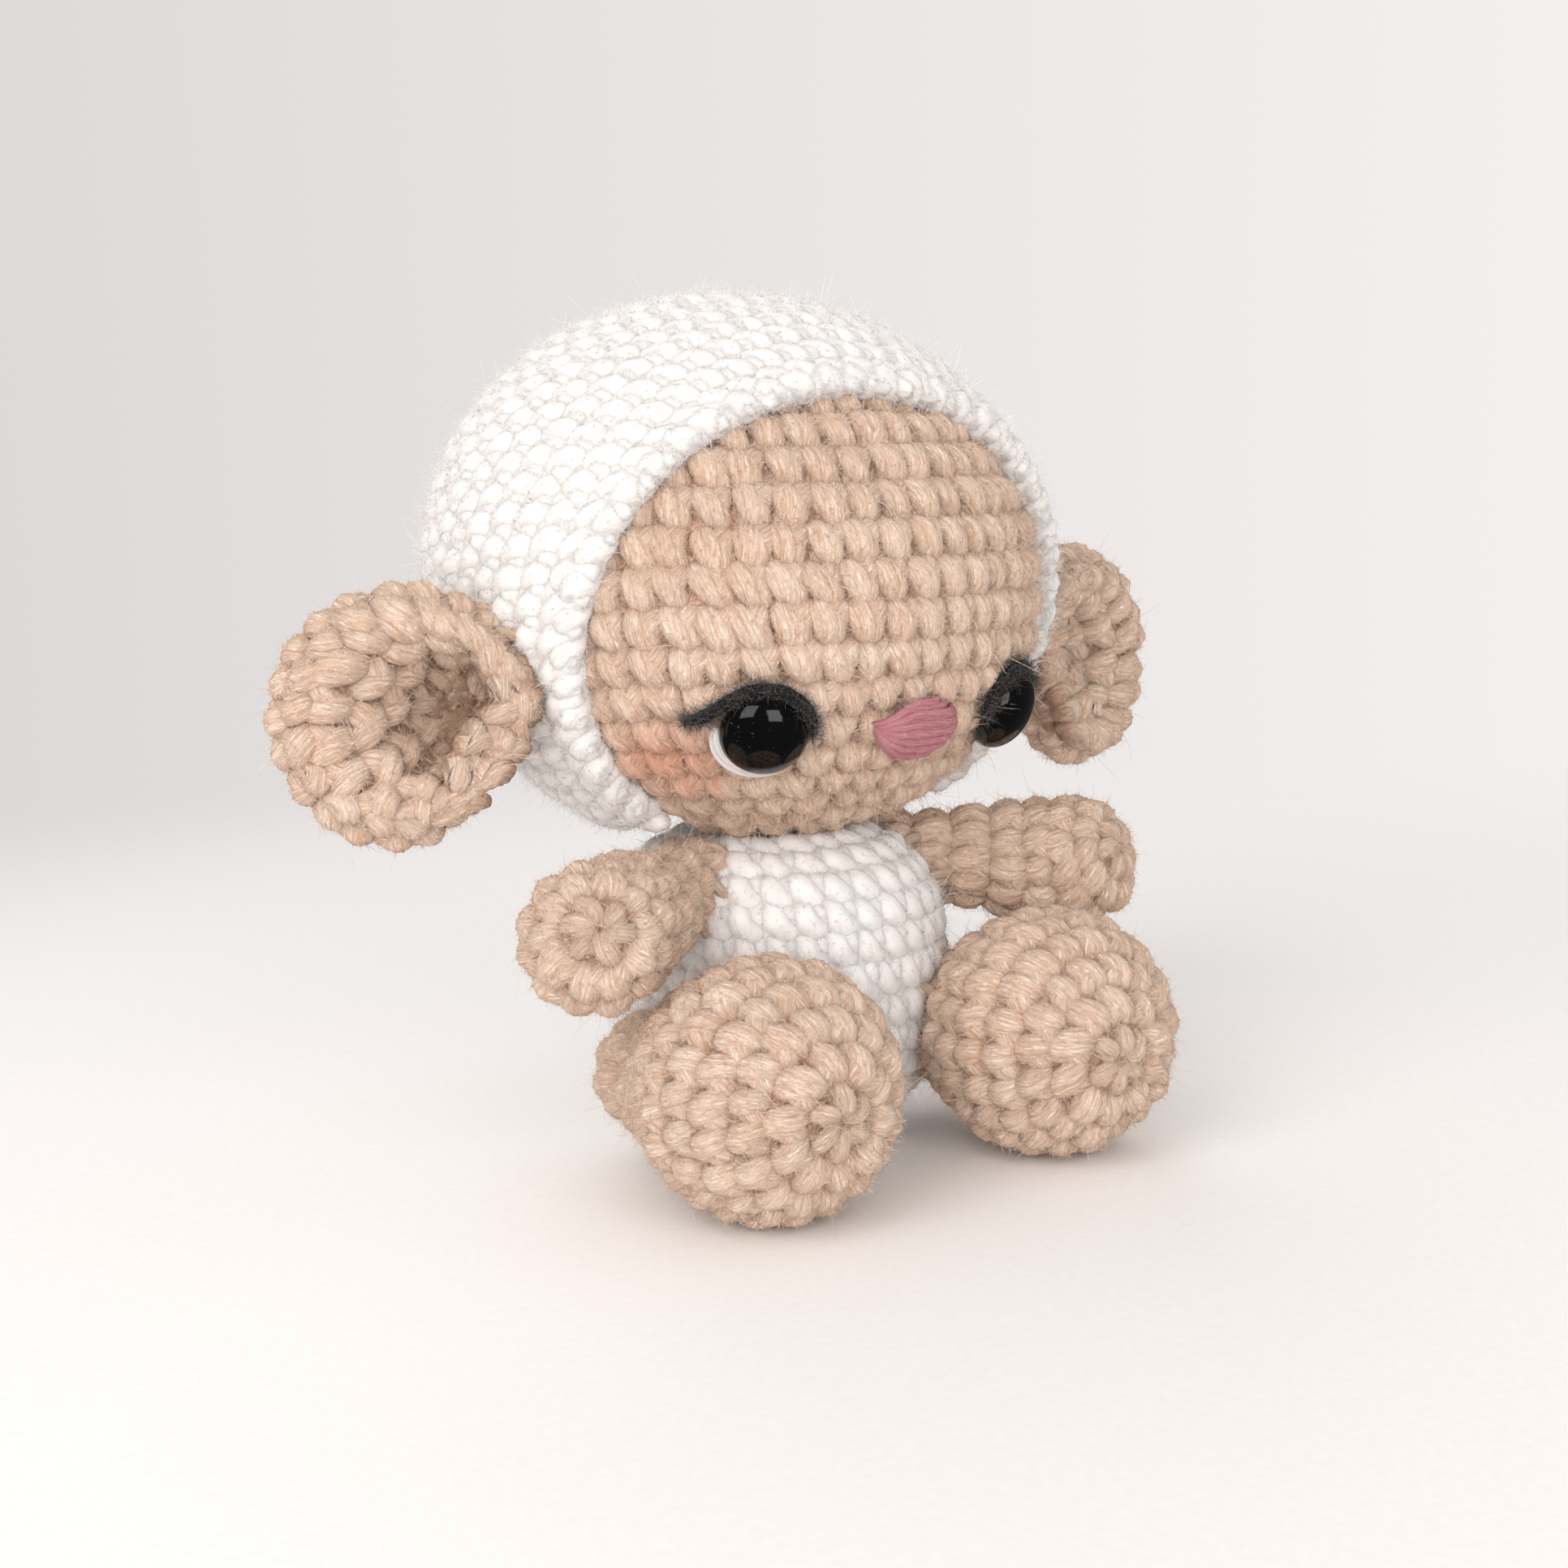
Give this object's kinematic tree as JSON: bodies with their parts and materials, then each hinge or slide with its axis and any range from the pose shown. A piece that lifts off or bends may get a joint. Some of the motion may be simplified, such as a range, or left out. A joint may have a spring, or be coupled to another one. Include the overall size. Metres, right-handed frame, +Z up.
{
  "type": "crochet lamb soft toy",
  "caption": "Small sitting crochet lamb with a large round head in a white bonnet, cupped ears, short arms and round feet.",
  "frame": {"origin": "on the floor under the middle of the whole lamb", "axes": "+Z up, the lamb faces -Y, its own left is +X"},
  "size_m": [0.1236, 0.0844, 0.1011],
  "materials": {
    "beige_crochet": "matt crocheted acrylic yarn, warm beige",
    "white_crochet": "matt crocheted acrylic yarn, soft white",
    "polyester_filling": "loose polyester fibre",
    "eye_plastic": "glossy black moulded plastic",
    "washer_plastic": "natural translucent moulded plastic",
    "black_yarn": "matt black yarn, slightly fuzzy",
    "pink_yarn": "satin stitches in dusty pink yarn"
  },
  "bodies": {
    "torso": {"body_shell": "white_crochet", "body_filling": "polyester_filling", "tail": "white_crochet"},
    "neck": {"neck_seam": "white_crochet"},
    "head": {"head_shell": "beige_crochet", "head_filling": "polyester_filling", "bonnet": "white_crochet", "nose": "pink_yarn", "right_eye": "eye_plastic", "right_eye_washer": "washer_plastic", "right_eye_white": "white_crochet", "right_eyelash": "black_yarn", "right_ear_seam": "beige_crochet", "left_eye": "eye_plastic", "left_eye_washer": "washer_plastic", "left_eye_white": "white_crochet", "left_eyelash": "black_yarn", "left_ear_seam": "beige_crochet"},
    "right_ear": {"right_ear": "beige_crochet"},
    "right_arm": {"right_arm_shell": "beige_crochet", "right_arm_filling": "polyester_filling", "right_arm_seam": "beige_crochet"},
    "right_leg": {"right_leg_shell": "beige_crochet", "right_leg_filling": "polyester_filling", "right_leg_seam": "beige_crochet"},
    "left_ear": {"left_ear": "beige_crochet"},
    "left_arm": {"left_arm_shell": "beige_crochet", "left_arm_filling": "polyester_filling", "left_arm_seam": "beige_crochet"},
    "left_leg": {"left_leg_shell": "beige_crochet", "left_leg_filling": "polyester_filling", "left_leg_seam": "beige_crochet"}
  },
  "joints": [
    {"name": "head_turn", "type": "hinge", "parent": "torso", "child": "neck", "pos_m": [0, 0.00001, 0.0475], "axis": [0, 0, 1], "range_deg": [-10, 10]},
    {"name": "head_nod", "type": "hinge", "parent": "neck", "child": "head", "pos_m": [0, 0.00001, 0.0475], "axis": [1, 0, 0], "range_deg": [-4, 4]},
    {"name": "right_ear_flap", "type": "hinge", "parent": "head", "child": "right_ear", "pos_m": [-0.03504, -0.00079, 0.0545], "axis": [0, 0, 1], "range_deg": [-8, 8]},
    {"name": "right_arm_raise", "type": "hinge", "parent": "torso", "child": "right_arm", "pos_m": [-0.0152, -0.00479, 0.033], "axis": [-0.5342, 0.8454, 0], "range_deg": [-2, 12]},
    {"name": "right_leg_drop", "type": "hinge", "parent": "torso", "child": "right_leg", "pos_m": [-0.02, -0.00479, 0.0115], "axis": [1, 0, 0], "range_deg": [-2, 35]},
    {"name": "left_ear_flap", "type": "hinge", "parent": "head", "child": "left_ear", "pos_m": [0.03504, -0.00079, 0.0545], "axis": [0, 0, 1], "range_deg": [-8, 8]},
    {"name": "left_arm_raise", "type": "hinge", "parent": "torso", "child": "left_arm", "pos_m": [0.0152, -0.00479, 0.033], "axis": [-0.5342, -0.8454, 0], "range_deg": [-2, 12]},
    {"name": "left_leg_drop", "type": "hinge", "parent": "torso", "child": "left_leg", "pos_m": [0.02, -0.00479, 0.0115], "axis": [1, 0, 0], "range_deg": [-2, 35]}
  ]
}
